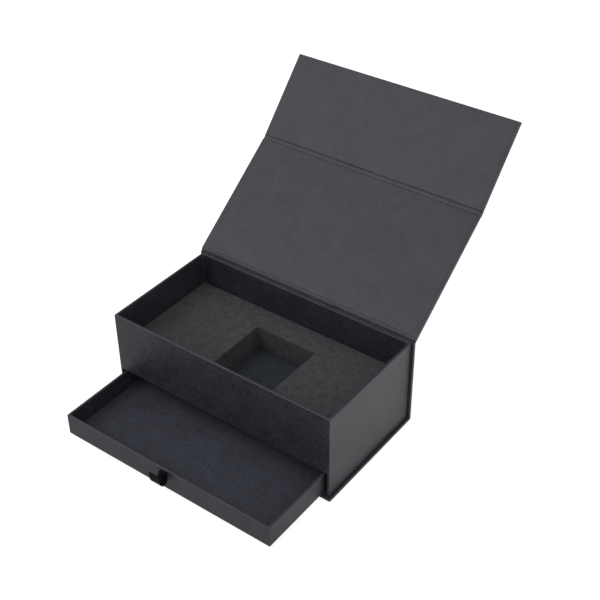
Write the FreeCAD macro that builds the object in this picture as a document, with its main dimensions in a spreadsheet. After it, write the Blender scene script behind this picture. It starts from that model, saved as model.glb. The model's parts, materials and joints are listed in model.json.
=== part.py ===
"""Rigid gift box that opens like a book, with a foam insert in its tray and a drawer under it.

Millimetres. +X is to the right along the front, +Y is to the back and +Z is up. The origin lies on the
underside of the case, below the middle of the tray. The box rests as it is shown open: the lid leans
back, the flap bends a little inward and the drawer is partly pulled out.
"""
import FreeCAD, Part
import math
import os
import re
import Sketcher

SIZES = (
    ("tray_length", 240.0, "outer length of the tray along the front"),
    ("tray_depth", 124.0, "outer depth of the tray from front to back"),
    ("tray_top", 91.2, "height of the tray's rim above the table"),
    ("tray_board", 2.0, "thickness of the greyboard in the tray and the drawer"),
    ("case_board", 2.5, "thickness of the greyboard in the case"),
    ("paper", 0.2, "thickness of the covering and lining paper"),
    ("case_overhang", 3.0, "how far the case stands out past the tray at the front and the sides"),
    ("turn_in", 15.0, "width of covering paper turned over onto a panel's inner side"),
    ("lining_margin", 2.5, "distance from a panel's free edge to the edge of its lining"),
    ("gutter", 2.0, "half of the bare strip between two boards of the case"),
    ("lid_gap", 0.1, "gap between the closed lid and the rim"),
    ("flap_gap", 0.75, "gap between the closed flap and the front of the tray"),
    ("toe_gap", 0.5, "gap between the closed flap's free edge and the base"),
    ("lid_angle", 36.87, "slope of the open lid above the horizontal, in degrees"),
    ("flap_fold", 10.91, "bend of the open flap towards the lid's inner side, in degrees"),
    ("corner_round", 0.35, "radius of the paper over an upright corner"),
    ("guide_board", 2.0, "thickness of the strips that guide the drawer and carry the shelf"),
    ("drawer_height", 22.0, "outer height of the drawer"),
    ("drawer_pull", 75.7, "how far the drawer is pulled out at rest"),
    ("drawer_side_gap", 0.95, "gap between the drawer and the guide on each side"),
    ("drawer_floor_gap", 0.4, "gap under the drawer"),
    ("drawer_back_gap", 0.5, "gap behind the closed drawer"),
    ("head_gap", 1.0, "gap between the drawer's rim and the wall above it"),
    ("shelf_rise", 2.5, "height of the shelf's underside above the front wall's lower edge"),
    ("lining_gap", 0.3, "gap round the lining sheet of the drawer"),
    ("foam_height", 24.6, "thickness of the foam insert"),
    ("foam_side_gap", 0.25, "gap between the foam and the tray's walls"),
    ("foam_rest_gap", 0.2, "gap between the foam and the shelf"),
    ("foam_round", 0.6, "radius of the foam's top edges"),
    ("recess_size", 66.5, "side of the square cut-out in the foam"),
    ("recess_shift", 2.7, "distance of the cut-out's centre to the right of the tray's centre"),
    ("magnet_width", 15.0, "diameter of the magnets and of the steel discs that they meet"),
    ("magnet_gauge", 1.5, "thickness of a magnet"),
    ("plate_gauge", 0.8, "thickness of a steel disc"),
    ("magnet_spacing", 120.0, "distance between the two magnets"),
    ("magnet_inset", 46.0, "distance of the magnets from the flap's free edge"),
    ("ribbon_width", 12.0, "width of the pull ribbon"),
    ("ribbon_gauge", 0.3, "thickness of the pull ribbon"),
    ("ribbon_tail", 12.0, "length of ribbon glued down inside the drawer's front"),
    ("slit_drop", 2.9, "depth of the ribbon's slit below the drawer's rim"),
    ("slit_gap", 0.1, "gap round the ribbon in its slit"),
    ("loop_radius", 4.0, "radius of the ribbon loop's round end"),
    ("loop_reach", 7.0, "distance from the loop's point to the centre of its round end"),
    ("loop_droop", 38.0, "slope of the loop below the horizontal, in degrees"),
    ("overrun", 1.0, "how far a cut runs past what it cuts"),
)
NAMES = {name for name, number, meaning in SIZES}

# Derived sizes, as formulas of the named ones
HALF_LENGTH = "(tray_length / 2)"
HALF_DEPTH = "(tray_depth / 2)"
HALF_CASE = "(tray_length / 2 + case_overhang)"
WALL = "(tray_board + 2 * paper)"
INNER_X = f"({HALF_LENGTH} - {WALL})"
INNER_Y = f"({HALF_DEPTH} - {WALL})"
CASE = "(case_board + 2 * paper)"
LEAF = "(case_board + 3 * paper)"
BAY_FLOOR = f"({CASE} + tray_board + paper)"
DRAWER_LOW = f"({BAY_FLOOR} + drawer_floor_gap)"
DRAWER_TOP = f"({DRAWER_LOW} + drawer_height)"
BAY_HEAD = f"({DRAWER_TOP} + head_gap)"
SHELF_LOW = f"({BAY_HEAD} + shelf_rise)"
SHELF_TOP = f"({SHELF_LOW} + tray_board + paper)"
FOAM_LOW = f"({SHELF_TOP} + foam_rest_gap)"
HINGE_Y = f"({HALF_DEPTH} + {CASE})"
HINGE_Z = f"(tray_top + lid_gap + {LEAF} / 2)"
LID_REACH = f"({HINGE_Y} + {HALF_DEPTH} + flap_gap + {LEAF} / 2)"
FLAP_REACH = f"({HINGE_Z} - {CASE} - toe_gap)"
FLAP_ANGLE = "(lid_angle + flap_fold)"
FOLD_Y = f"({HINGE_Y} + {LID_REACH} * cos(lid_angle))"
FOLD_Z = f"({HINGE_Z} + {LID_REACH} * sin(lid_angle))"
DRAWER_HALF = f"({INNER_X} - guide_board - drawer_side_gap)"
DRAWER_DEPTH = f"({HALF_DEPTH} + {INNER_Y} - guide_board - drawer_back_gap)"
DRAWER_FRONT = f"(-{HALF_DEPTH} - drawer_pull)"
DRAWER_BACK = f"({DRAWER_FRONT} + {DRAWER_DEPTH})"
SLIT_Z = f"({DRAWER_TOP} - slit_drop)"

document = FreeCAD.newDocument("GiftBox")
sheet = document.addObject("Spreadsheet::Sheet", "Sizes")
sub_parts = []


def fill_sheet():
    """One row for each driving size: its meaning and its value, which has the name."""
    for row, (name, number, meaning) in enumerate(SIZES, start=1):
        sheet.set(f"A{row}", meaning)
        sheet.set(f"B{row}", str(number))
        sheet.setAlias(f"B{row}", name)
    document.recompute()


def bound(formula):
    """The formula with each name of a size replaced by its cell in the sheet."""
    return re.sub(r"[a-z_]+", lambda word: cell(word.group()), formula)


def cell(word):
    return f"Sizes.{word}" if word in NAMES else word


def value(formula):
    return float(sheet.evalExpression(bound(formula)))


def minus(formula):
    return f"(-{formula})"


# Bodies, blocks and cuts

def new_body(label, pose=None):
    """A body in the box's frame, or in a panel's frame where a pose gives its place and slope."""
    body = document.addObject("PartDesign::Body", label)
    body.Label = label
    set_pose(body, pose)
    sub_parts.append(body)
    return body


def set_pose(item, pose):
    """Turns an object about X and moves it, as a panel's pose says: y, z and angle."""
    if pose is None:
        return
    item.Placement = FreeCAD.Placement(FreeCAD.Vector(), FreeCAD.Rotation(FreeCAD.Vector(1, 0, 0), value(pose[2])))
    item.setExpression("Placement.Base.y", bound(pose[0]))
    item.setExpression("Placement.Base.z", bound(pose[1]))
    item.setExpression("Placement.Rotation.Angle", bound(pose[2]))


def new_sketch(body, name, place, role="XY_Plane"):
    """A sketch parallel to one of the body's planes, with its origin moved to a place in that plane's axes."""
    sketch = body.newObject("Sketcher::SketchObject", name)
    plane = [feature for feature in body.Origin.OriginFeatures if feature.Role == role][0]
    sketch.AttachmentSupport = [(plane, "")]
    sketch.MapMode = "FlatFace"
    for axis, formula in zip("xyz", place):
        sketch.setExpression(f"AttachmentOffset.Base.{axis}", bound(formula))
    return sketch


def rectangle(sketch, width, depth):
    """A rectangle with one corner on the sketch's origin."""
    corners = [FreeCAD.Vector(x, y) for x, y in ((0, 0), (1, 0), (1, 1), (0, 1))]
    for side in range(4):
        sketch.addGeometry(Part.LineSegment(corners[side], corners[(side + 1) % 4]))
    for side in range(4):
        sketch.addConstraint(Sketcher.Constraint("Coincident", side, 2, (side + 1) % 4, 1))
    for side in (0, 2):
        sketch.addConstraint(Sketcher.Constraint("Horizontal", side))
    for side in (1, 3):
        sketch.addConstraint(Sketcher.Constraint("Vertical", side))
    sketch.addConstraint(Sketcher.Constraint("Coincident", 0, 1, -1, 1))
    bind_constraint(sketch, Sketcher.Constraint("DistanceX", 0, 1, 0, 2, value(width)), "width", width)
    bind_constraint(sketch, Sketcher.Constraint("DistanceY", 1, 1, 1, 2, value(depth)), "depth", depth)


def circle(sketch, diameter):
    """A circle round the sketch's origin."""
    sketch.addGeometry(Part.Circle(FreeCAD.Vector(), FreeCAD.Vector(0, 0, 1), value(diameter) / 2))
    sketch.addConstraint(Sketcher.Constraint("Coincident", 0, 3, -1, 1))
    bind_constraint(sketch, Sketcher.Constraint("Diameter", 0, value(diameter)), "diameter", diameter)


def bind_constraint(sketch, constraint, name, formula):
    sketch.renameConstraint(sketch.addConstraint(constraint), name)
    sketch.setExpression(f"Constraints.{name}", bound(formula))


def extrude(body, kind, sketch, length):
    """A pad or a pocket of a sketch, which becomes the body's tip."""
    feature = body.newObject(kind, f"{sketch.Name}_solid")
    feature.Profile = sketch
    feature.setExpression("Length", bound(length))
    body.Tip = feature
    return feature


def block(body, name, low, high):
    """A rectangular pad between two opposite corners."""
    sketch = new_sketch(body, name, low)
    rectangle(sketch, f"{high[0]} - {low[0]}", f"{high[1]} - {low[1]}")
    return extrude(body, "PartDesign::Pad", sketch, f"{high[2]} - {low[2]}")


def cut(body, name, low, high):
    """A rectangular pocket between two opposite corners, cut downward from the upper one."""
    sketch = new_sketch(body, name, (low[0], low[1], high[2]))
    rectangle(sketch, f"{high[0]} - {low[0]}", f"{high[1]} - {low[1]}")
    return extrude(body, "PartDesign::Pocket", sketch, f"{high[2]} - {low[2]}")


def mirror_left(body, feature):
    """The same feature again on the left of the box."""
    mirrored = body.newObject("PartDesign::Mirrored", f"{feature.Name}_left")
    mirrored.Originals = [feature]
    plane = [item for item in body.Origin.OriginFeatures if item.Role == "YZ_Plane"][0]
    mirrored.MirrorPlane = (plane, [""])
    body.Tip = mirrored


def round_edges(body, name, feature, radius, wanted):
    """Rounds those edges of a feature whose middle the test accepts."""
    document.recompute()
    edges = feature.Shape.Edges
    chosen = [f"Edge{index}" for index, edge in enumerate(edges, start=1) if wanted(edge)]
    fillet = body.newObject("PartDesign::Fillet", name)
    fillet.Base = (feature, chosen)
    fillet.setExpression("Radius", bound(radius))
    body.Tip = fillet


def is_upright(edge):
    low, high = edge.BoundBox.ZMin, edge.BoundBox.ZMax
    return high - low > 0.9 * edge.Length


def plain_board(label, box, pose=None):
    """A piece of greyboard or sheet that is one block."""
    body = new_body(label, pose)
    block(body, f"{label}_block", *box)
    return body


def disc_pair(label, radius, height, places, angle, pose=None):
    """Two equal discs in one node, turned about X by an angle, in the box's frame or a panel's."""
    discs = []
    for side, (x, y, z) in zip(("right", "left"), places):
        disc = document.addObject("Part::Cylinder", f"{label}_{side}")
        disc.setExpression("Radius", bound(radius))
        disc.setExpression("Height", bound(height))
        disc.Placement = FreeCAD.Placement(FreeCAD.Vector(), FreeCAD.Rotation(FreeCAD.Vector(1, 0, 0), angle))
        for axis, formula in zip("xyz", (x, y, z)):
            disc.setExpression(f"Placement.Base.{axis}", bound(formula))
        discs.append(disc)
    group = document.addObject("Part::Compound", label)
    group.Label = label
    group.Links = discs
    set_pose(group, pose)
    sub_parts.append(group)


# The case: four board panels in one cover, hinged at their gutters

BASE_POSE = ("0", f"({CASE} / 2)", "0")
SPINE_POSE = (f"({HALF_DEPTH} + {CASE} / 2)", "0", "90")
LID_POSE = (HINGE_Y, HINGE_Z, "lid_angle")
FLAP_POSE = (FOLD_Y, FOLD_Z, FLAP_ANGLE)
BASE_START = f"(-{HALF_DEPTH} - case_overhang)"
SPINE_END = f"({HINGE_Z} - gutter)"
LID_END = f"({LID_REACH} - gutter)"


def panel_board_box(thickness, start, end, free_start, free_end):
    """Opposite corners of a panel's board, in the panel's frame: y along it and z to its inner side."""
    near = f"({start} + paper)" if free_start else start
    far = f"({end} - paper)" if free_end else end
    low_z = f"(-{thickness} / 2 + paper)"
    return (f"(-{HALF_CASE} + paper)", near, low_z), (f"({HALF_CASE} - paper)", far, f"({low_z} + case_board)")


def panel_layer(start, end, free_start, free_end, margin):
    """X and y limits of a layer that stops a margin short of a panel's free edges."""
    near = f"({start} + {margin})" if free_start else start
    far = f"({end} - {margin})" if free_end else end
    return (f"(-{HALF_CASE} + {margin})", near), (f"({HALF_CASE} - {margin})", far)


def case_panel(name, pose, thickness, start, end, free_start=False, free_end=False):
    """A panel's board and the covering paper round it, turned in over its free edges."""
    low, high = panel_board_box(thickness, start, end, free_start, free_end)
    board = plain_board(f"{name}_board", (low, high), pose)
    wrap = new_body(f"{name}_wrap", pose)
    outside = f"(-{thickness} / 2)"
    inside = f"({high[2]} + paper)"
    block(wrap, f"{name}_cover", (minus(HALF_CASE), start, outside), (HALF_CASE, end, inside))
    cut(wrap, f"{name}_board_room", low, high)
    near, far = panel_layer(start, end, free_start, free_end, "turn_in")
    cut(wrap, f"{name}_window", (*near, high[2]), (*far, inside))
    return board


def panel_lining(name, pose, start, end, free_end=False):
    """The lining of a lid or flap: it fills the space between the turn-ins and covers their inner edges."""
    lining = new_body(f"{name}_lining", pose)
    board_face = f"(-{LEAF} / 2 + paper + case_board)"
    near, far = panel_layer(start, end, False, free_end, "turn_in")
    block(lining, f"{name}_lining_fill", (*near, board_face), (*far, f"({board_face} + paper)"))
    near, far = panel_layer(start, end, False, free_end, "lining_margin")
    block(lining, f"{name}_lining_sheet", (*near, f"({board_face} + paper)"), (*far, f"({LEAF} / 2)"))


def flap_magnets(board):
    """Two magnets let into the inner side of the flap's board."""
    along = f"({FLAP_REACH} - magnet_inset)"
    board_face = f"(-{LEAF} / 2 + paper + case_board)"
    sketch = new_sketch(board, "magnet_hole", ("magnet_spacing / 2", along, board_face))
    circle(sketch, "magnet_width")
    mirror_left(board, extrude(board, "PartDesign::Pocket", sketch, "magnet_gauge"))
    places = [(side, along, f"({board_face} - magnet_gauge)") for side in ("magnet_spacing / 2", "-magnet_spacing / 2")]
    disc_pair("flap_magnets", "magnet_width / 2", "magnet_gauge", places, 0, FLAP_POSE)


def make_case():
    case_panel("base", BASE_POSE, CASE, BASE_START, HALF_DEPTH, free_start=True)
    case_panel("spine", SPINE_POSE, CASE, CASE, SPINE_END)
    case_panel("lid", LID_POSE, LEAF, "gutter", LID_END)
    panel_lining("lid", LID_POSE, "gutter", LID_END)
    flap_board = case_panel("flap", FLAP_POSE, LEAF, "gutter", FLAP_REACH, free_end=True)
    panel_lining("flap", FLAP_POSE, "gutter", FLAP_REACH, free_end=True)
    flap_magnets(flap_board)


# Paper hinges in the gutters

def on_panel(pose, along, across):
    """A point of a panel and the panel's direction there, in the box's frame."""
    angle = math.radians(value(pose[2]))
    direction = FreeCAD.Vector(0, math.cos(angle), math.sin(angle))
    inward = FreeCAD.Vector(1, 0, 0).cross(direction)
    origin = FreeCAD.Vector(0, value(pose[0]), value(pose[1]))
    return origin + direction * value(along) + inward * value(across), direction


def curve_through(first, middle, last):
    """An arc through three points, or a straight edge where they lie in line."""
    bend = (middle - first).cross(last - middle).Length
    if bend < 1e-9 * (last - first).Length ** 2:
        return Part.makeLine(first, last)
    return Part.Arc(first, middle, last).toShape()


def arc_middle(first, apex, last):
    """The middle of the arc that touches the lines from its ends to an apex."""
    chord_middle = (first + last) / 2
    cosine = (last - first).Length / 2 / (apex - first).Length
    return chord_middle + (apex - chord_middle) * (cosine / (1 + cosine))


def paper_hinge(label, start_pose, start_along, start_face, end_pose, end_along, end_face):
    """Cover and lining glued together between two panels: two tangent arcs from one outer face to the next."""
    start, heading = on_panel(start_pose, start_along, start_face)
    finish, final = on_panel(end_pose, end_along, end_face)
    gap = finish - start
    spread = gap.dot(heading + final)
    turning = heading.dot(final) - 1
    reach = gap.dot(gap) / (spread + math.sqrt(spread ** 2 - 2 * turning * gap.dot(gap)))
    first_apex = start + heading * reach
    second_apex = finish - final * reach
    join = (first_apex + second_apex) / 2
    outer = [start, arc_middle(start, first_apex, join), join, arc_middle(join, second_apex, finish), finish]
    directions = [heading, join - start, second_apex - first_apex, finish - join, final]
    thickness = value("2 * paper")
    inner = []
    for point, direction in zip(outer, directions):
        inner.append(point + FreeCAD.Vector(1, 0, 0).cross(direction.normalize()) * thickness)
    edges = [curve_through(*outer[:3]), curve_through(*outer[2:]), Part.makeLine(outer[4], inner[4])]
    edges += [curve_through(*inner[:1:-1]), curve_through(*inner[2::-1]), Part.makeLine(inner[0], outer[0])]
    section = Part.Face(Part.Wire(edges))
    half = value(HALF_CASE)
    section.translate(FreeCAD.Vector(-half, 0, 0))
    add_feature(label, section.extrude(FreeCAD.Vector(2 * half, 0, 0)))


def add_feature(label, shape, place=None):
    feature = document.addObject("Part::Feature", label)
    feature.Label = label
    feature.Shape = shape
    if place is not None:
        feature.Placement = FreeCAD.Placement(place, FreeCAD.Rotation())
    sub_parts.append(feature)


def make_paper_hinges():
    base_face = f"(-{CASE} / 2)"
    leaf_face = f"(-{LEAF} / 2)"
    paper_hinge("base_hinge_paper", BASE_POSE, HALF_DEPTH, base_face, SPINE_POSE, CASE, base_face)
    paper_hinge("lid_hinge_paper", SPINE_POSE, SPINE_END, base_face, LID_POSE, "gutter", leaf_face)
    paper_hinge("flap_hinge_paper", LID_POSE, LID_END, leaf_face, FLAP_POSE, "gutter", leaf_face)


# The tray: walls, floor and shelf in one covering paper, open below the front wall for the drawer

BOARD_X = f"({HALF_LENGTH} - paper)"
BOARD_Y = f"({HALF_DEPTH} - paper)"
BETWEEN_X = f"({BOARD_X} - tray_board)"
BETWEEN_Y = f"({BOARD_Y} - tray_board)"
WALL_TOP = "(tray_top - paper)"
FRONT_WALL_LOW = f"({BAY_HEAD} + paper)"
TRAY_WALLS = {
    "tray_front_board": (
        (minus(BETWEEN_X), minus(BOARD_Y), FRONT_WALL_LOW), (BETWEEN_X, minus(BETWEEN_Y), WALL_TOP)),
    "tray_back_board": ((minus(BETWEEN_X), BETWEEN_Y, CASE), (BETWEEN_X, BOARD_Y, WALL_TOP)),
    "tray_left_board": ((minus(BOARD_X), minus(BOARD_Y), CASE), (minus(BETWEEN_X), BOARD_Y, WALL_TOP)),
    "tray_right_board": ((BETWEEN_X, minus(BOARD_Y), CASE), (BOARD_X, BOARD_Y, WALL_TOP)),
}


def make_tray_walls():
    for label, box in TRAY_WALLS.items():
        wall = plain_board(label, box)
        if label == "tray_front_board":
            catch_plates(wall)


def catch_plates(wall):
    """Two steel discs let into the outer side of the front wall's board, where the flap's magnets meet it."""
    level = f"({HINGE_Z} - {FLAP_REACH} + magnet_inset)"
    sketch = new_sketch(wall, "plate_hole", ("magnet_spacing / 2", level, BOARD_Y), "XZ_Plane")
    circle(sketch, "magnet_width")
    mirror_left(wall, extrude(wall, "PartDesign::Pocket", sketch, "plate_gauge"))
    places = [(side, minus(BOARD_Y), level) for side in ("magnet_spacing / 2", "-magnet_spacing / 2")]
    disc_pair("catch_plates", "magnet_width / 2", "plate_gauge", places, -90)


def make_tray_wrap():
    """Paper outside the walls, over the rim and down inside, and round the edges of the drawer's opening."""
    wrap = new_body("tray_wrap")
    outer = block(
        wrap, "tray_cover", (minus(HALF_LENGTH), minus(HALF_DEPTH), CASE), (HALF_LENGTH, HALF_DEPTH, "tray_top"))
    round_edges(wrap, "tray_corners", outer, "corner_round", is_upright)
    cut(wrap, "tray_room", (minus(INNER_X), minus(INNER_Y), CASE), (INNER_X, INNER_Y, "tray_top"))
    for label, box in TRAY_WALLS.items():
        cut(wrap, f"{label}_room", *box)
    cut(wrap, "bay_mouth", (minus(INNER_X), minus(HALF_DEPTH), CASE), (INNER_X, minus(INNER_Y), BAY_HEAD))


def make_bay():
    """The drawer's floor, the strips at its sides and back, and the shelf that stands on them."""
    floor_top = f"({CASE} + tray_board)"
    plain_board("tray_floor_board", ((minus(INNER_X), minus(BOARD_Y), CASE), (INNER_X, INNER_Y, floor_top)))
    lining = new_body("bay_lining")
    block(lining, "bay_sheet", (minus(INNER_X), minus(HALF_DEPTH), floor_top), (INNER_X, INNER_Y, BAY_FLOOR))
    block(lining, "bay_lip", (minus(INNER_X), minus(HALF_DEPTH), CASE), (INNER_X, minus(BOARD_Y), floor_top))
    guide_x = f"({INNER_X} - guide_board)"
    plain_board("left_guide", ((minus(INNER_X), minus(INNER_Y), BAY_FLOOR), (minus(guide_x), INNER_Y, SHELF_LOW)))
    plain_board("right_guide", ((guide_x, minus(INNER_Y), BAY_FLOOR), (INNER_X, INNER_Y, SHELF_LOW)))
    ledge_y = f"({INNER_Y} - guide_board)"
    plain_board("rear_ledge", ((minus(guide_x), ledge_y, BAY_FLOOR), (guide_x, INNER_Y, SHELF_LOW)))
    shelf_face = f"({SHELF_LOW} + tray_board)"
    plain_board("shelf_board", ((minus(INNER_X), minus(INNER_Y), SHELF_LOW), (INNER_X, INNER_Y, shelf_face)))
    plain_board("shelf_lining", ((minus(INNER_X), minus(INNER_Y), shelf_face), (INNER_X, INNER_Y, SHELF_TOP)))


def make_insert():
    """A block of foam that drops into the tray, with a square cut-out down to the shelf's lining."""
    insert = new_body("foam_insert")
    half_x = f"({INNER_X} - foam_side_gap)"
    half_y = f"({INNER_Y} - foam_side_gap)"
    top = f"({FOAM_LOW} + foam_height)"
    block(insert, "foam_block", (minus(half_x), minus(half_y), FOAM_LOW), (half_x, half_y, top))
    low = ("(recess_shift - recess_size / 2)", "(-recess_size / 2)", FOAM_LOW)
    recess = cut(insert, "foam_recess", low, ("(recess_shift + recess_size / 2)", "(recess_size / 2)", top))
    top_level = value(top)
    round_edges(
        insert, "foam_edges", recess, "foam_round", lambda edge: abs(edge.BoundBox.ZMin - top_level) < 1e-6)


# The drawer: a shallow tray of its own, pulled by a ribbon

DRAWER_BOARD_LOW = f"({DRAWER_LOW} + paper)"
DRAWER_BOARD_TOP = f"({DRAWER_TOP} - paper)"
DRAWER_FLOOR_TOP = f"({DRAWER_BOARD_LOW} + tray_board)"
DRAWER_BOARD_X = f"({DRAWER_HALF} - paper)"
DRAWER_BETWEEN_X = f"({DRAWER_BOARD_X} - tray_board)"
FRONT_FACE = f"({DRAWER_FRONT} + paper)"
FRONT_BACK = f"({FRONT_FACE} + tray_board)"
REAR_FACE = f"({DRAWER_BACK} - paper)"
REAR_FRONT = f"({REAR_FACE} - tray_board)"
DRAWER_BOARDS = {
    "drawer_floor_board": (
        (minus(DRAWER_BETWEEN_X), FRONT_BACK, DRAWER_BOARD_LOW), (DRAWER_BETWEEN_X, REAR_FRONT, DRAWER_FLOOR_TOP)),
    "drawer_left_board": (
        (minus(DRAWER_BOARD_X), FRONT_FACE, DRAWER_BOARD_LOW), (minus(DRAWER_BETWEEN_X), REAR_FACE, DRAWER_BOARD_TOP)),
    "drawer_right_board": (
        (DRAWER_BETWEEN_X, FRONT_FACE, DRAWER_BOARD_LOW), (DRAWER_BOARD_X, REAR_FACE, DRAWER_BOARD_TOP)),
    "drawer_front_board": (
        (minus(DRAWER_BETWEEN_X), FRONT_FACE, DRAWER_BOARD_LOW), (DRAWER_BETWEEN_X, FRONT_BACK, DRAWER_BOARD_TOP)),
    "drawer_back_board": (
        (minus(DRAWER_BETWEEN_X), REAR_FRONT, DRAWER_BOARD_LOW), (DRAWER_BETWEEN_X, REAR_FACE, DRAWER_BOARD_TOP)),
}
SLIT_HALF = "(ribbon_width / 2 + slit_gap)"
SLIT_LOW = f"({SLIT_Z} - ribbon_gauge - slit_gap)"
SLIT_HIGH = f"({SLIT_Z} + ribbon_gauge + slit_gap)"
TAIL_FACE = f"({FRONT_BACK} - 2 * ribbon_gauge)"
TAIL_LOW = f"({SLIT_Z} - ribbon_tail)"


def make_drawer_boards():
    for label, box in DRAWER_BOARDS.items():
        board = plain_board(label, box)
        if label == "drawer_front_board":
            cut(board, "board_slit", (minus(SLIT_HALF), FRONT_FACE, SLIT_LOW), (SLIT_HALF, FRONT_BACK, SLIT_HIGH))
            cut(board, "tail_room", (minus(SLIT_HALF), TAIL_FACE, TAIL_LOW), (SLIT_HALF, FRONT_BACK, SLIT_HIGH))


def make_drawer_wrap():
    """Paper under and round the drawer, over its rim and down inside to the floor, with the ribbon's slit."""
    wrap = new_body("drawer_wrap")
    outer = block(
        wrap, "drawer_cover", (minus(DRAWER_HALF), DRAWER_FRONT, DRAWER_LOW), (DRAWER_HALF, DRAWER_BACK, DRAWER_TOP))
    round_edges(wrap, "drawer_corners", outer, "corner_round", is_upright)
    inner_x = f"({DRAWER_HALF} - {WALL})"
    low = (minus(inner_x), f"({DRAWER_FRONT} + {WALL})", DRAWER_FLOOR_TOP)
    cut(wrap, "drawer_room", low, (inner_x, f"({DRAWER_BACK} - {WALL})", DRAWER_TOP))
    for label, box in DRAWER_BOARDS.items():
        cut(wrap, f"{label}_room", *box)
    cut(wrap, "paper_slit", (minus(SLIT_HALF), DRAWER_FRONT, SLIT_LOW), (SLIT_HALF, FRONT_FACE, SLIT_HIGH))
    lining_x = f"({inner_x} - lining_gap)"
    low = (minus(lining_x), f"({DRAWER_FRONT} + {WALL} + lining_gap)", DRAWER_FLOOR_TOP)
    high = (lining_x, f"({DRAWER_BACK} - {WALL} - lining_gap)", f"({DRAWER_FLOOR_TOP} + paper)")
    plain_board("drawer_lining", (low, high))


def make_ribbon_anchor():
    """Both ends of the ribbon, through the slit and glued down behind the drawer's front."""
    anchor = new_body("ribbon_anchor")
    half = "(ribbon_width / 2)"
    low = (minus(half), DRAWER_FRONT, f"({SLIT_Z} - ribbon_gauge)")
    block(anchor, "ribbon_passage", low, (half, FRONT_BACK, f"({SLIT_Z} + ribbon_gauge)"))
    block(anchor, "ribbon_ends", (minus(half), TAIL_FACE, TAIL_LOW), (half, FRONT_BACK, f"({SLIT_Z} + ribbon_gauge)"))


def teardrop(apex, centre, radius):
    """A face with a point at the apex and a round end about the centre."""
    axis = (centre - apex).normalize()
    side = FreeCAD.Vector(1, 0, 0).cross(axis)
    half = math.asin(radius / (centre - apex).Length)
    turns = [math.pi / 2 + half, (math.pi / 2 + half) / 2, 0]
    above = [centre + (axis * math.cos(turn) + side * math.sin(turn)) * radius for turn in turns]
    below = [centre + (axis * math.cos(turn) - side * math.sin(turn)) * radius for turn in turns]
    edges = [Part.makeLine(apex, above[0]), Part.Arc(*above).toShape()]
    edges += [Part.Arc(*below[::-1]).toShape(), Part.makeLine(below[0], apex)]
    return Part.Face(Part.Wire(edges))


def make_pull_ribbon():
    """The drooping loop of ribbon outside the slit, cut off flush with the drawer's front."""
    gauge, radius, reach = value("ribbon_gauge"), value("loop_radius"), value("loop_reach")
    width, overrun = value("ribbon_width"), value("overrun")
    droop = math.radians(value("loop_droop"))
    axis = FreeCAD.Vector(0, -math.cos(droop), -math.sin(droop))
    half = math.asin(radius / reach)
    apex = axis * (-gauge / math.tan(half))
    centre = apex + axis * reach
    inner_apex = apex + axis * (gauge / math.sin(half))
    band = teardrop(apex, centre, radius).cut(teardrop(inner_apex, centre, radius - gauge))
    band.translate(FreeCAD.Vector(-width / 2, 0, 0))
    loop = band.extrude(FreeCAD.Vector(width, 0, 0))
    behind = Part.makeBox(width + 2 * overrun, reach, 2 * reach, FreeCAD.Vector(-width / 2 - overrun, 0, -reach))
    place = FreeCAD.Vector(0, value(DRAWER_FRONT), value(SLIT_Z))
    add_feature("pull_ribbon", loop.cut(behind), place)


def check_document():
    """Stops where a feature failed, a pocket cut nothing or a sub-part isn't a sound solid."""
    for item in document.Objects:
        if {"Invalid", "Error"} & set(item.State):
            raise RuntimeError(f"{item.Label} failed: {item.State}")
        if item.TypeId == "PartDesign::Pocket" and item.Shape.Volume >= item.BaseFeature.Shape.Volume:
            raise RuntimeError(f"{item.Label} cuts nothing")
    for part in sub_parts:
        if part.Shape.isNull() or not part.Shape.isValid() or part.Shape.Volume <= 0:
            raise RuntimeError(f"{part.Label} has no sound solid")


def main():
    fill_sheet()
    make_case()
    make_paper_hinges()
    make_tray_walls()
    make_tray_wrap()
    make_bay()
    make_insert()
    make_drawer_boards()
    make_drawer_wrap()
    make_ribbon_anchor()
    make_pull_ribbon()
    document.recompute()
    check_document()
    os.makedirs("parts", exist_ok=True)
    for part in sub_parts:
        part.Shape.exportStep(f"parts/{part.Label}.step")


main()
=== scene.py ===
"""Dresses the gift box: paper over its boards, linings, creases, foam, a pull ribbon and a white studio.

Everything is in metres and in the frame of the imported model: +X to the right along the front, +Y to the
back and +Z up. Shapes take their places from the model's own nodes, so they stay where the boards are.
"""
import json
import math
from itertools import product

import bpy
from bpy.props import FloatProperty, FloatVectorProperty, PointerProperty
from mathutils import Matrix, Vector, geometry, noise


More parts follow.
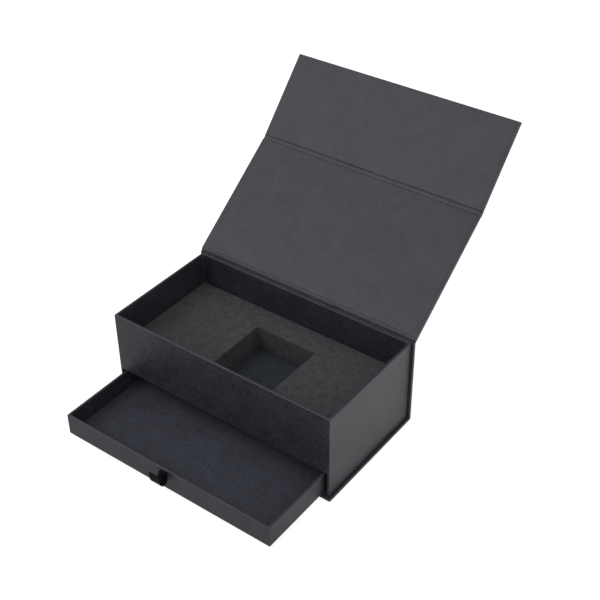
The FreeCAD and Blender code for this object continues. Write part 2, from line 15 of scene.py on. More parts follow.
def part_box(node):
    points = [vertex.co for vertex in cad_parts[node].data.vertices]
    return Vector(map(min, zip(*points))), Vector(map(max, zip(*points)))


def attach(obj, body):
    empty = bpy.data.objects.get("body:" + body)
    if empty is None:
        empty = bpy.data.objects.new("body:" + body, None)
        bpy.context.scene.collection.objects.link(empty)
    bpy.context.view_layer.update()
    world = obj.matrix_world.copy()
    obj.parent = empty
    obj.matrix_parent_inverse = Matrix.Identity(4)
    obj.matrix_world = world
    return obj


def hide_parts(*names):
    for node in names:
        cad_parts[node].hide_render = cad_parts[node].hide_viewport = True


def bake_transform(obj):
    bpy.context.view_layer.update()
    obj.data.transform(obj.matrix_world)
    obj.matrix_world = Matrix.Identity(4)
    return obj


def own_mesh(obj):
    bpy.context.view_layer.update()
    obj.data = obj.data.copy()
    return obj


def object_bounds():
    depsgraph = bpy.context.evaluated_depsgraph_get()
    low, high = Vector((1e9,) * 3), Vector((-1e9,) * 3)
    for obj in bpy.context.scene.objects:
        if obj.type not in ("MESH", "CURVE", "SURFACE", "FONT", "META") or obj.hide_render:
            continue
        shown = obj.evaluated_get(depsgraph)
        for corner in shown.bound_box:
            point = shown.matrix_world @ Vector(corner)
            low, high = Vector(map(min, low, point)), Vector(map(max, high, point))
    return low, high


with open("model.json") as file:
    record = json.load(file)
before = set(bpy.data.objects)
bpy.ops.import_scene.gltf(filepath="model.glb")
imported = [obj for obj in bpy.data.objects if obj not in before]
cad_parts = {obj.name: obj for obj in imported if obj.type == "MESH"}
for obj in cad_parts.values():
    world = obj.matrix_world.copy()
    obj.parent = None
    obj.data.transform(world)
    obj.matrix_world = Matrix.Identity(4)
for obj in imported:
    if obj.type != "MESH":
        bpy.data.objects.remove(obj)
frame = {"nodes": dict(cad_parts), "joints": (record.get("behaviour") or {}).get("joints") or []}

bl_info = {
    "name": "Drawer Gift Box",
    "version": (1, 0, 0),
    "blender": (4, 5, 0),
    "location": "View3D > Sidebar > Gift Box",
    "description": "Covers the boards of a drawer gift box with paper and adds its foam, ribbon and studio",
    "category": "Object",
}

CAD_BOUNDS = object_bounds()
ACROSS = Vector((1, 0, 0))
SHARP_ANGLE = math.radians(35)  # edges that turn further than this are sharp
ROUNDING_STEPS = 3  # faces across a rounded edge
CURVE_STEPS = 12  # points along a curve of the lid's crease
PANEL_PITCH = 0.012  # spacing of the grid on a panel's lining
SLOPE_WIDTH = 0.0015  # width of the slope where the turn-in ends under a lining
LINE_DECIMALS = 7  # decimals of a grid line's place, so that two lines at one place are one
NOISE_SPAN = (0.3, 0.7)  # a noise seldom leaves this range of values


# Properties

class GiftBoxSizes(bpy.types.PropertyGroup):
    """Sizes of the paper, the foam and the ribbon that the model's boards don't give."""

    edge_radius: FloatProperty(
        name="Edge radius", description="Rounding of the paper over a board's edge",
        default=0.00045, min=0.0001, max=0.001, unit="LENGTH", precision=5)
    rim_radius: FloatProperty(
        name="Rim radius", description="Rounding of the outer edge of the tray's and the drawer's rim",
        default=0.0008, min=0.0001, max=0.0014, unit="LENGTH", precision=5)
    case_radius: FloatProperty(
        name="Case radius", description="Rounding of the outer edges of the case's base and spine",
        default=0.0013, min=0.0001, max=0.0014, unit="LENGTH", precision=5)
    fold_radius: FloatProperty(
        name="Fold radius", description="Rounding of the lid and the flap where they meet at the crease",
        default=0.0011, min=0.0003, max=0.0015, unit="LENGTH", precision=5)
    paper: FloatProperty(
        name="Paper", description="Thickness of the covering and lining paper",
        default=0.0002, min=0.00005, max=0.0005, unit="LENGTH", precision=5)
    turn_in: FloatProperty(
        name="Turn-in", description="Width of covering paper that shows through a lining as a low step",
        default=0.015, min=0.005, max=0.03, unit="LENGTH", precision=4)
    step_depth: FloatProperty(
        name="Step depth", description="Height of that step under the lining",
        default=0.00007, min=0.0, max=0.0002, unit="LENGTH", precision=5)
    groove_depth: FloatProperty(
        name="Groove depth", description="Depth of the crease between lid and flap on the inner side",
        default=0.0009, min=0.0002, max=0.0025, unit="LENGTH", precision=5)
    corner_fill: FloatProperty(
        name="Corner fill", description="How far the lining paper bridges an upright inner corner",
        default=0.0012, min=0.0002, max=0.003, unit="LENGTH", precision=5)
    foam_radius: FloatProperty(
        name="Foam edge", description="Rounding of the foam's cut edges",
        default=0.0006, min=0.0001, max=0.002, unit="LENGTH", precision=5)
    foam_wave: FloatProperty(
        name="Foam unevenness", description="How uneven the top of the foam is",
        default=0.00012, min=0.0, max=0.0005, unit="LENGTH", precision=5)
    foam_pitch: FloatProperty(
        name="Foam grid", description="Spacing of the grid lines on the foam",
        default=0.006, min=0.002, max=0.02, unit="LENGTH", precision=4)
    ribbon_gauge: FloatProperty(
        name="Ribbon gauge", description="Thickness of the pull ribbon",
        default=0.0003, min=0.0001, max=0.001, unit="LENGTH", precision=5)


class GiftBoxColours(bpy.types.PropertyGroup):
    """Colours of the box's own materials."""

    cover: FloatVectorProperty(
        name="Cover paper", description="Colour of the covering paper", subtype="COLOR", size=3,
        default=(0.0155, 0.0163, 0.0195), min=0, max=1)
    # Lighter than the cover: rubbed wear on the edges, and also a painted highlight along the rounded edges
    # and inner corners.
    edge: FloatVectorProperty(
        name="Worn edge", description="Colour of the covering paper where it is rubbed", subtype="COLOR",
        size=3, default=(0.024, 0.025, 0.028), min=0, max=1)
    drawer_lining: FloatVectorProperty(
        name="Drawer lining", description="Colour of the lining on the drawer's floor",
        subtype="COLOR", size=3, default=(0.0315, 0.0328, 0.0415), min=0, max=1)
    # Darker than the drawer's lining, which is the same paper: painted shade of the foam's cut-out.
    shelf_lining: FloatVectorProperty(
        name="Shelf lining", description="Colour of the lining under the foam's cut-out", subtype="COLOR",
        size=3, default=(0.0195, 0.0222, 0.0265), min=0, max=1)
    foam: FloatVectorProperty(
        name="Foam", description="Colour of the foam", subtype="COLOR", size=3,
        default=(0.0368, 0.038, 0.0382), min=0, max=1)
    ribbon: FloatVectorProperty(
        name="Ribbon", description="Colour of the pull ribbon", subtype="COLOR", size=3,
        default=(0.004, 0.004, 0.005), min=0, max=1)
    board: FloatVectorProperty(
        name="Greyboard", description="Colour of the bare greyboard", subtype="COLOR", size=3,
        default=(0.30, 0.29, 0.27), min=0, max=1)


class GiftBoxStudio(bpy.types.PropertyGroup):
    """The camera and the light."""

    azimuth: FloatProperty(
        name="Azimuth", description="Direction of the camera, to the right of the box's front",
        default=math.radians(36.741), subtype="ANGLE")
    elevation: FloatProperty(
        name="Elevation", description="Height of the camera above the horizon",
        default=math.radians(36.73), subtype="ANGLE")
    roll: FloatProperty(
        name="Roll", description="Turn of the camera about its own line of sight",
        default=math.radians(-0.476), subtype="ANGLE")
    target: FloatVectorProperty(
        name="Target", description="The point in the middle of the picture", size=3, subtype="XYZ",
        unit="LENGTH", default=(0.044551, 0.0, 0.142339))
    distance: FloatProperty(
        name="Distance", description="From the camera to the target", default=0.977705, min=0.1,
        unit="LENGTH")
    lens: FloatProperty(
        name="Lens", description="Focal length on a sensor 36 mm wide", default=69.178, min=10, max=200)
    ambient: FloatProperty(
        name="Ambient", description="Strength of the light from all round", default=1.0, min=0, max=2)
    back_share: FloatProperty(
        name="Back share", description="How bright the room behind the box is, as a share of the rest",
        default=0.3, min=0, max=1)
    softbox_power: FloatProperty(
        name="Softbox", description="Power in watts of the large lamp above the front", default=9.1, min=0,
        max=200)


# Places and sizes taken from the model

def joint_place(name):
    """A joint's point in the frame of the model."""
    return Vector(next(joint["pos_m"] for joint in frame["joints"] if joint["name"] == name))


def panel_axes(hinge, board):
    """A panel's own axes as a matrix: X across the box, Y along the panel from its hinge, Z inward."""
    largest = max(frame["nodes"][board].data.polygons, key=lambda face: face.area)
    inward = largest.normal.copy() if largest.normal.z > 0 else -largest.normal
    axes = Matrix((ACROSS, inward.cross(ACROSS), inward)).transposed().to_4x4()
    axes.translation = joint_place(hinge)
    return axes


def limits(axes, *nodes):
    """Lowest and highest corners of nodes, measured along a panel's own axes."""
    back = axes.inverted()
    points = [back @ vertex.co for node in nodes for vertex in frame["nodes"][node].data.vertices]
    return Vector([min(row) for row in zip(*points)]), Vector([max(row) for row in zip(*points)])


def leaf_limits(name, axes):
    """Lowest and highest corners of the lid or the flap with its paper, along its own axes."""
    return limits(axes, f"{name}_wrap", f"{name}_lining")


def box(node):
    """Lowest and highest corners of a node."""
    low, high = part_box(node)
    return Vector(low), Vector(high)


LID_AXES = panel_axes("lid_hinge", "lid_board")
FLAP_AXES = panel_axes("flap_hinge", "flap_board")
UPRIGHT = Matrix.Identity(4)


# Meshes

def add_piece(name, points, faces, axes=UPRIGHT):
    """A new object from points given along a panel's axes, shaded smooth between its sharp edges."""
    mesh = bpy.data.meshes.new(name)
    mesh.from_pydata([axes @ Vector(point) for point in points], [], faces)
    mesh.validate()
    mesh.shade_smooth()
    mesh.set_sharp_from_angle(angle=SHARP_ANGLE)
    piece = bpy.data.objects.new(name, mesh)
    bpy.context.scene.collection.objects.link(piece)
    return piece


def cell_piece(name, xs, ys, zs, is_solid, axes=UPRIGHT):
    """A closed skin round the solid cells of a grid that the three lists of lines divide."""
    lines = (xs, ys, zs)
    corners = {}
    faces = []
    for cell in product(*(range(len(line) - 1) for line in lines)):
        if not is_solid(*cell):
            continue
        for axis, side in product(range(3), (0, 1)):
            beside = list(cell)
            beside[axis] += 2 * side - 1
            if 0 <= beside[axis] < len(lines[axis]) - 1 and is_solid(*beside):
                continue
            start = list(cell)
            start[axis] += side
            ring = []
            for first, second in ((0, 0), (1, 0), (1, 1), (0, 1)):
                corner = list(start)
                corner[(axis + 1) % 3] += first
                corner[(axis + 2) % 3] += second
                ring.append(corners.setdefault(tuple(corner), len(corners)))
            faces.append(ring if side else ring[::-1])
    points = [(xs[i], ys[j], zs[k]) for i, j, k in corners]
    return add_piece(name, points, faces, axes)


def tube_faces(count, rings, first=0):
    """Faces round rings of so many points each, closed at both ends, from a first point on.

    They look outward where each ring runs counter-clockwise, seen from the last ring's end.
    """
    last = first + count * (rings - 1)
    faces = [tuple(range(first, first + count))[::-1], tuple(range(last, last + count))]
    for ring, index in product(range(first, last, count), range(count)):
        near, far = ring + index, ring + (index + 1) % count
        faces.append((near, far, far + count, near + count))
    return faces


def prism(name, outline, xs):
    """An outline in Y and Z, counter-clockwise seen from +X, drawn out across the box."""
    points = [(x, *point) for x in xs for point in outline]
    return add_piece(name, points, tube_faces(len(outline), len(xs)))


def sheet_piece(name, xs, ys, height, underside, axes=UPRIGHT):
    """A closed sheet on a grid of lines, with a height for each point of its upper face."""
    columns, rows = len(xs), len(ys)
    upper = [(x, y, height(x, y)) for y in ys for x in xs]
    lower = [(x, y, underside) for y in ys for x in xs]
    total = columns * rows
    faces = []
    for row, column in product(range(rows - 1), range(columns - 1)):
        first = row * columns + column
        quad = (first, first + 1, first + columns + 1, first + columns)
        faces.append(quad)
        faces.append(tuple(total + index for index in quad[::-1]))
    border = list(range(columns))
    border += [row * columns + columns - 1 for row in range(1, rows)]
    border += [(rows - 1) * columns + column for column in range(columns - 2, -1, -1)]
    border += [row * columns for row in range(rows - 2, 0, -1)]
    for first, second in zip(border, border[1:] + border[:1]):
        faces.append((first, total + first, total + second, second))
    return add_piece(name, upper + lower, faces, axes)


def round_edges(piece, radius, share=None, segments=ROUNDING_STEPS):
    """Rounds a piece's sharp edges, by a share of the radius that may depend on the edge's middle."""
    mesh = piece.data
    weights = mesh.attributes.new("bevel_weight_edge", "FLOAT", "EDGE")
    sharp = mesh.attributes["sharp_edge"]
    for edge in mesh.edges:
        if sharp.data[edge.index].value:
            start, end = (mesh.vertices[index].co for index in edge.vertices)
            weights.data[edge.index].value = share((start + end) / 2) if share else 1.0
    mesh.attributes.remove(sharp)
    bevel = piece.modifiers.new("Rounded edges", "BEVEL")
    bevel.width = radius
    bevel.segments = segments
    bevel.limit_method = "WEIGHT"
    bevel.use_clamp_overlap = False
    bevel.harden_normals = True
    bevel.material = 1  # the second of the piece's materials, the lighter paper of rubbed wear and painted highlight, on the rounded strips


def soften(radius, *boards):
    """Rounds boards under their paper, so that no corner of theirs comes through it."""
    for board in boards:
        modifiers = frame["nodes"][board].modifiers
        weld = modifiers.new("Joined corners", "WELD")
        weld.merge_threshold = 0.00001
        bevel = modifiers.new("Rounded board", "BEVEL")
        bevel.width = radius
        bevel.segments = ROUNDING_STEPS
        bevel.limit_method = "ANGLE"
        bevel.angle_limit = SHARP_ANGLE
        bevel.use_clamp_overlap = False


def curve_points(start, start_pull, end_pull, end, count):
    """Points along one smooth curve between two points in Y and Z, each with a handle."""
    handles = [Vector((*point, 0)) for point in (start, start_pull, end_pull, end)]
    return [tuple(point[:2]) for point in geometry.interpolate_bezier(*handles, count)]


def smooth_step(value):
    """A smooth rise from 0 to 1 as a value goes from 0 to 1."""
    value = min(max(value, 0.0), 1.0)
    return value * value * (3 - 2 * value)


def sink(distance, radius):
    """How far a rounded edge has sunk at a distance from its end."""
    if distance >= radius:
        return 0.0
    return radius - math.sqrt(max(0.0, radius * radius - (radius - distance) ** 2))


def lines_between(low, high, pitch, *extra):
    """Evenly spaced lines from low to high, with some more at chosen places."""
    count = max(1, round((high - low) / pitch))
    lines = [low + (high - low) * index / count for index in range(count + 1)]
    return sorted({round(line, LINE_DECIMALS) for line in (*lines, *extra)})


# Materials

def set_inputs(node, **inputs):
    """Sets some sockets of a node, by their names with underscores for spaces."""
    for name, value in inputs.items():
        node.inputs[name.replace("_", " ")].default_value = value
    return node


def add_node(material, kind, **inputs):
    """A new node of a material or the world, with some of its sockets set."""
    return set_inputs(material.node_tree.nodes.new(kind), **inputs)


def shader_of(material):
    """A material's one Principled shader."""
    return material.node_tree.nodes["Principled BSDF"]


def new_material(name, **inputs):
    """A new material, with some of its shader's sockets set."""
    material = bpy.data.materials.new(name)
    material.use_nodes = True
    set_inputs(shader_of(material), **inputs)
    return material


def join(material, output, target):
    """A link from one socket to another."""
    material.node_tree.links.new(output, target)


def placed(material, node, kind="Object"):
    """Feeds a node with the place on the object, or with the direction in the world, and returns it."""
    place = add_node(material, "ShaderNodeTexCoord")
    join(material, place.outputs[kind], node.inputs["Vector"])
    return node


def noise_value(material, scale, detail=3.0, roughness=0.55, stretch=(1, 1, 1)):
    """A noise that is fixed to the object, with about as many features to the metre as its scale."""
    mapping = placed(material, add_node(material, "ShaderNodeMapping", Scale=stretch))
    texture = add_node(material, "ShaderNodeTexNoise", Scale=scale, Detail=detail, Roughness=roughness)
    join(material, mapping.outputs["Vector"], texture.inputs["Vector"])
    return texture.outputs["Fac"]


def mix_values(material, first, second, share):
    """Two values mixed by a fixed share of the second."""
    mix = add_node(material, "ShaderNodeMix", Factor=share)
    join(material, first, mix.inputs["A"])
    join(material, second, mix.inputs["B"])
    return mix.outputs["Result"]


def ranged(material, value, low, high, span=NOISE_SPAN, interpolation="LINEAR"):
    """A value spread from its span to another range."""
    start, end = span
    spread = add_node(material, "ShaderNodeMapRange", From_Min=start, From_Max=end, To_Min=low, To_Max=high)
    spread.interpolation_type = interpolation
    join(material, value, spread.inputs["Value"])
    return spread.outputs["Result"]


def tinted(material, value, colour, contrast):
    """A colour that gets darker and lighter about its mean as a value rises."""
    ramp = material.node_tree.nodes.new("ShaderNodeValToRGB")
    for stop, place, share in zip(ramp.color_ramp.elements, NOISE_SPAN, (1 - contrast, 1 + contrast)):
        stop.position = place
        stop.color = (*[channel * share for channel in colour], 1)
    join(material, value, ramp.inputs["Fac"])
    return ramp.outputs["Color"]


def finish(material, shade, colour, contrast, gloss, roughness, relief, depth):
    """Tints a material by one value, makes it duller by another and gives it relief of a depth in metres."""
    sockets = shader_of(material).inputs
    bump = add_node(material, "ShaderNodeBump", Strength=1.0, Distance=depth)
    join(material, tinted(material, shade, colour, contrast), sockets["Base Color"])
    join(material, ranged(material, gloss, *roughness), sockets["Roughness"])
    join(material, relief, bump.inputs["Height"])
    join(material, bump.outputs["Normal"], sockets["Normal"])


def cover_paper(name, colour, contrast):
    """Dull black covering paper: fine felt-like grain, faint clouds and short fibres."""
    material = new_material(name)
    grain = noise_value(material, scale=620, detail=5.0, roughness=0.65)
    fibres = noise_value(material, scale=300, detail=3.0, stretch=(1.0, 2.6, 1.6))
    clouds = noise_value(material, scale=55, detail=3.0)
    texture = mix_values(material, grain, fibres, share=0.45)
    shade = mix_values(material, texture, clouds, share=0.3)
    finish(
        material, shade, colour, contrast, gloss=texture, roughness=(0.4, 0.54), relief=texture,
        depth=0.0006)
    return material


def lining_paper(name, colour):
    """The bluish lining of the drawer and the shelf: soft, with fine light and dark flecks."""
    material = new_material(name, Specular_IOR_Level=0.3)
    grain = noise_value(material, scale=560, detail=5.0, roughness=0.7)
    clouds = noise_value(material, scale=45, detail=2.0)
    shade = mix_values(material, grain, clouds, share=0.2)
    finish(
        material, shade, colour, contrast=0.6, gloss=grain, roughness=(0.75, 0.9), relief=grain,
        depth=0.00008)
    return material


def foam_skin(name, colour):
    """Dense cut foam: closed cells that show as fine pits, and a soft sheen."""
    material = new_material(name, Specular_IOR_Level=0.2, Sheen_Weight=0.05, Sheen_Roughness=0.6)
    pores = placed(material, add_node(material, "ShaderNodeTexVoronoi", Scale=900)).outputs["Distance"]
    pits = ranged(material, pores, low=0.3, high=0.7, span=(0.0, 0.8))
    clouds = noise_value(material, scale=160, detail=5.0, roughness=0.65)
    shade = mix_values(material, pits, clouds, share=0.5)
    finish(
        material, shade, colour, contrast=0.6, gloss=clouds, roughness=(0.88, 0.98), relief=pores,
        depth=0.00012)
    return material


def ribbon_satin(name, colour):
    """Black satin ribbon: fine ribs across its length under a soft gloss."""
    material = new_material(name, Specular_IOR_Level=0.04)
    ribs = placed(material, add_node(
        material, "ShaderNodeTexWave", Scale=2600, Distortion=0.6, Detail=1.0))
    ribs.bands_direction = "X"
    threads = noise_value(material, scale=2500, detail=2.0)
    weave = mix_values(material, ribs.outputs["Fac"], threads, share=0.4)
    finish(
        material, weave, colour, contrast=0.3, gloss=threads, roughness=(0.34, 0.5), relief=weave,
        depth=0.00003)
    return material


def grey_board(name, colour):
    """Pressed recycled board: speckled, with longer fibres."""
    material = new_material(name)
    specks = noise_value(material, scale=1800, detail=5.0, roughness=0.7)
    fibres = noise_value(material, scale=500, detail=3.0, stretch=(0.4, 2.0, 1.0))
    shade = mix_values(material, specks, fibres, share=0.5)
    finish(
        material, shade, colour, contrast=0.25, gloss=specks, roughness=(0.8, 0.95), relief=specks,
        depth=0.00008)
    return material


def plated_metal(name, colour, roughness):
    """Nickel or tin plate with a brushed, slightly cloudy surface."""
    material = new_material(name, Metallic=1.0)
    brushing = noise_value(material, scale=900, detail=3.0, stretch=(0.2, 3.0, 1.0))
    clouds = noise_value(material, scale=200)
    finish(
        material, clouds, colour, contrast=0.1, gloss=brushing,
        roughness=(roughness - 0.06, roughness + 0.08), relief=brushing, depth=0.00001)
    return material


def paint(piece, *materials):
    """Gives a piece its materials, in place of those it has."""
    piece.data.materials.clear()
    for material in materials:
        piece.data.materials.append(material)


def material_named(name, make, **details):
    """The material of that name, made once."""
    return bpy.data.materials.get(name) or make(name, **details)


def papers():
    """The covering paper, and a lighter copy of it for the rounded edges and inner corners: partly rubbed
    wear, partly painted highlight.
    """
    colours = bpy.context.scene.gift_box_colours
    return (
        material_named("dull_black_paper", cover_paper, colour=colours.cover, contrast=0.9),
        material_named("rubbed_paper", cover_paper, colour=colours.edge, contrast=0.8),
    )


def dress(piece, body, slot, *nodes):
    """Lets a piece ride on a body and stand for some nodes of the model."""
    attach(piece, body)
    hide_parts(*nodes)


# The case

def leaf_cover(name, axes, sizes, radii):
    """The paper round the board of a panel, with one radius at each of its ends."""
    low, high = leaf_limits(name, axes)
    seat = high.z - sizes.paper
    back = axes.inverted()

    def share(middle):
        """The two inner edges at the gutters are rounded like the lining over them, all others less."""
        place = back @ middle
        if place.z < seat - sizes.paper or low.y + sizes.paper < place.y < high.y - sizes.paper:
            return sizes.edge_radius / sizes.fold_radius
        radius = radii[0] if place.y < low.y + sizes.paper else radii[1]
        return max(radius, sizes.edge_radius) / sizes.fold_radius

    cover = cell_piece(
        f"{name}_cover_paper", [low.x, high.x], [low.y, high.y], [low.z, seat], lambda *cell: True, axes)
    round_edges(cover, sizes.fold_radius, share)
    paint(cover, *papers())
    dress(cover, name, "cover_paper", f"{name}_wrap")


def leaf_lining(name, axes, sizes, radii, is_end_free):
    """The lining inside the free edges of a panel, which bends down at the ends with the paper under it."""
    low, high = leaf_limits(name, axes)
    near, far = limits(axes, f"{name}_lining")
    fold = sizes.fold_radius
    fade = 0.0004  # how far from a free edge the lining starts to come down to its cut edge
    fade_depth = sizes.paper * 0.45

    def height(x, y):
        """The lining's upper face: a low step, cut edges pressed down and rounded ends at the gutters."""
        from_edges = [x - near.x, far.x - x]
        from_board = [x - low.x, high.x - x]
        if is_end_free:
            from_edges.append(far.y - y)
            from_board.append(high.y - y)
        level = far.z - sizes.step_depth * smooth_step((min(from_board) - sizes.turn_in) / SLOPE_WIDTH)
        level -= fade_depth * (1 - smooth_step(min(from_edges) / fade))
        return level - sink(y - near.y, radii[0]) - sink(far.y - y, radii[1])

    steps = [0.0, 0.00015, fade, fade * 2]
    slope = [sizes.turn_in - (near.x - low.x) + part * SLOPE_WIDTH for part in (0, 0.25, 0.5, 0.75, 1)]
    bends = [fold * part for part in (0.0, 0.04, 0.12, 0.25, 0.42, 0.6, 0.8, 1.0, 1.4)]
    across = steps + slope
    xs = lines_between(
        near.x, far.x, PANEL_PITCH, *[near.x + place for place in across],
        *[far.x - place for place in across])
    ys = lines_between(
        near.y, far.y, PANEL_PITCH, *[near.y + place for place in bends + steps],
        *[far.y - place for place in bends + steps + slope])
    lining = sheet_piece(f"{name}_lining_paper", xs, ys, height, far.z - fold - sizes.paper, axes)
    paint(lining, papers()[0])
    dress(lining, name, "lining_paper", f"{name}_lining")


def leaf(name, axes, is_end_free):
    """A lined panel of the case: the paper round its board, and the lining inside its free edges."""
    sizes = bpy.context.scene.gift_box_sizes
    fold = sizes.fold_radius
    radii = (fold, 0) if is_end_free else (sizes.edge_radius * 1.4, fold)
    leaf_cover(name, axes, sizes, radii)
    leaf_lining(name, axes, sizes, radii, is_end_free)
    soften(fold, f"{name}_board")


class GIFTBOX_OT_case(bpy.types.Operator):
    """Covers the base and the spine with one sheet of paper that bends round the lower back edge"""

    bl_idname = "giftbox.case"
    bl_label = "Case base and spine"

    def execute(self, context):
        sizes = context.scene.gift_box_sizes
        base_low, base_high = box("base_wrap")
        spine_low, spine_high = box("spine_wrap")
        bend = spine_high.y - spine_low.y
        top = spine_high.z + sizes.paper
        outline = [
            (base_low.y, base_low.z), (spine_high.y, base_low.z), (spine_high.y, top), (spine_low.y, top),
            (spine_low.y, base_high.z), (base_low.y, base_high.z)]
        shell = prism("case_cover_paper", outline, [base_low.x, base_high.x])

        def share(middle):
            """Widest where the paper bends from the base to the spine, and small at the spine's top."""
            if middle.z > spine_high.z:
                return sizes.case_radius / bend * 0.25
            at_bend = middle.y > spine_high.y - sizes.paper and middle.z < base_low.z + sizes.paper
            return 1.0 if at_bend else sizes.case_radius / bend

        round_edges(shell, bend, share, segments=5)
        soften(sizes.case_radius, "base_board", "spine_board")
        paint(shell, *papers())
        dress(shell, "box_body", "cover_paper", "base_wrap", "spine_wrap", "base_hinge_paper")
        return {"FINISHED"}


class GIFTBOX_OT_lid(bpy.types.Operator):
    """Covers the lid with paper and lines its inner side"""

    bl_idname = "giftbox.lid"
    bl_label = "Lid"

    def execute(self, context):
        leaf("lid", LID_AXES, is_end_free=False)
        return {"FINISHED"}


class GIFTBOX_OT_flap(bpy.types.Operator):
    """Covers the front flap with paper and lines its inner side"""

    bl_idname = "giftbox.flap"
    bl_label = "Front flap"

    def execute(self, context):
        leaf("flap", FLAP_AXES, is_end_free=True)
        return {"FINISHED"}


def on_panel(axes, along, across):
    """Y and Z of a point of a panel."""
    point = axes @ Vector((0, along, across))
    return point.y, point.z


class GIFTBOX_OT_creases(bpy.types.Operator):
    """Bridges the two gutters of the lid and the flap with paper curved between them"""

    bl_idname = "giftbox.creases"
    bl_label = "Creases"

    def execute(self, context):
        self.lid_crease(context.scene.gift_box_sizes)
        self.flap_crease(context.scene.gift_box_sizes)
        return {"FINISHED"}

    def lid_crease(self, sizes):
        """From the top of the spine, glued behind the tray, up to the lid.

        The ends and handles of its curves are placed by shares of the gap, the paper and the edge's radius.
        """
        spine_low, spine_high = box("spine_wrap")
        low, high = leaf_limits("lid", LID_AXES)
        gap = low.y
        pull = gap * 0.6
        outer = curve_points(
            (spine_high.y, spine_high.z), (spine_high.y, spine_high.z + pull),
            on_panel(LID_AXES, low.y - pull, low.z), on_panel(LID_AXES, low.y, low.z), count=CURVE_STEPS)
        inside_lid = on_panel(LID_AXES, low.y + sizes.edge_radius * 2, 0)
        lid_edge = on_panel(LID_AXES, low.y + sizes.paper * 0.5, high.z - sizes.edge_radius * 1.3)
        lid_pull = (lid_edge[0] - gap * 0.35, lid_edge[1] - gap * 0.45)
        valley = (spine_high.y - sizes.paper * 4.5, spine_high.z)
        valley_pull = (valley[0] + sizes.paper * 1.2, valley[1] + gap * 1.35)
        inner = curve_points(valley, valley_pull, lid_pull, lid_edge, count=CURVE_STEPS)
        crease = prism("lid_crease_paper", outer + [inside_lid] + inner[::-1], [spine_low.x, spine_high.x])
        paint(crease, papers()[0])
        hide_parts("lid_hinge_paper")
        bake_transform(crease)

    def flap_crease(self, sizes):
        """A shallow groove across the gutter between the lid and the flap, gentler on the flap's side.

        Its handles are placed by shares of the gap, the fold's radius and the groove's depth.
        """
        lid_low, lid_high = leaf_limits("lid", LID_AXES)
        flap_low, flap_high = leaf_limits("flap", FLAP_AXES)
        gap, under, depth = flap_low.y, sizes.fold_radius, sizes.groove_depth
        pull = gap * 0.7
        outer = curve_points(
            on_panel(LID_AXES, lid_high.y, lid_low.z), on_panel(LID_AXES, lid_high.y + pull, lid_low.z),
            on_panel(FLAP_AXES, flap_low.y - pull, flap_low.z),
            on_panel(FLAP_AXES, flap_low.y, flap_low.z), count=10)
        inward = (LID_AXES.col[2] + FLAP_AXES.col[2]).to_3d().normalized()
        bottom = joint_place("flap_hinge") + inward * (lid_high.z - depth)
        middle = (bottom.y, bottom.z)
        lid_edge = on_panel(LID_AXES, lid_high.y - sizes.paper / 2, lid_high.z - under * 1.15)
        flap_edge = on_panel(FLAP_AXES, flap_low.y + under * 0.8, flap_high.z - sizes.paper * 0.1)
        along_lid, along_flap = LID_AXES.col[1], FLAP_AXES.col[1]
        lid_pull = on_panel(LID_AXES, lid_high.y + gap * 0.25, lid_high.z - under * 1.2)
        flap_pull = on_panel(FLAP_AXES, flap_low.y + under * 0.3, flap_high.z - depth * 0.5)
        before = (middle[0] - along_lid.y * pull, middle[1] - along_lid.z * pull)
        after = (middle[0] + along_flap.y * pull, middle[1] + along_flap.z * pull)
        rise = curve_points(flap_edge, flap_pull, after, middle, count=8)
        fall = curve_points(middle, before, lid_pull, lid_edge, count=8)
        crease = prism("flap_crease_paper", outer + rise + fall[1:], [lid_low.x, lid_high.x])
        paint(crease, papers()[0])
        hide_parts("flap_hinge_paper")
        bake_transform(crease)


# The tray and its bay

def wall_lines(low, high, wall):
    """Lines on both faces of two opposite walls."""
    return [low, low + wall, high - wall, high]


def rim_share(low, high, sizes):
    """A rounding that is larger on a rim's outer edge in front and at the sides than on every other edge."""
    def share(middle):
        is_outer = min(middle.x - low.x, high.x - middle.x, middle.y - low.y) < sizes.paper
        is_top = high.z - middle.z < sizes.paper
        return 1.0 if is_outer and is_top else sizes.edge_radius / sizes.rim_radius
    return share


def boards_of(part):
    """Names of the boards of the tray or the drawer."""
    return [name for name in frame["nodes"] if name.startswith(part) and name.endswith("_board")]


def corner_fills(name, low, high, levels, leg, body):
    """Paper that bridges the upright inner corners between four walls, in the lighter paper that paints a
    highlight along each corner.
    """
    points, faces = [], []
    steps = 6
    for side, end in product((0, 1), (0, 1)):
        x, y = (low.x, high.x)[side], (low.y, high.y)[end]
        inward = Vector((1 - 2 * side, 1 - 2 * end))
        outline = [(x, y)]
        for step in range(steps + 1):
            turn = math.radians(90 * step / steps)
            along, beside = leg * (1 - math.cos(turn)), leg * (1 - math.sin(turn))
            outline.append((x + inward.x * along, y + inward.y * beside))
        if side == end:
            outline.reverse()
        faces += tube_faces(len(outline), len(levels), first=len(points))
        points += [(*point, level) for level in levels for point in outline]
    fill = add_piece(name, points, faces)
    # the lighter paper is a painted highlight along the corner
    paint(fill, papers()[1])
    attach(fill, body)
    return fill


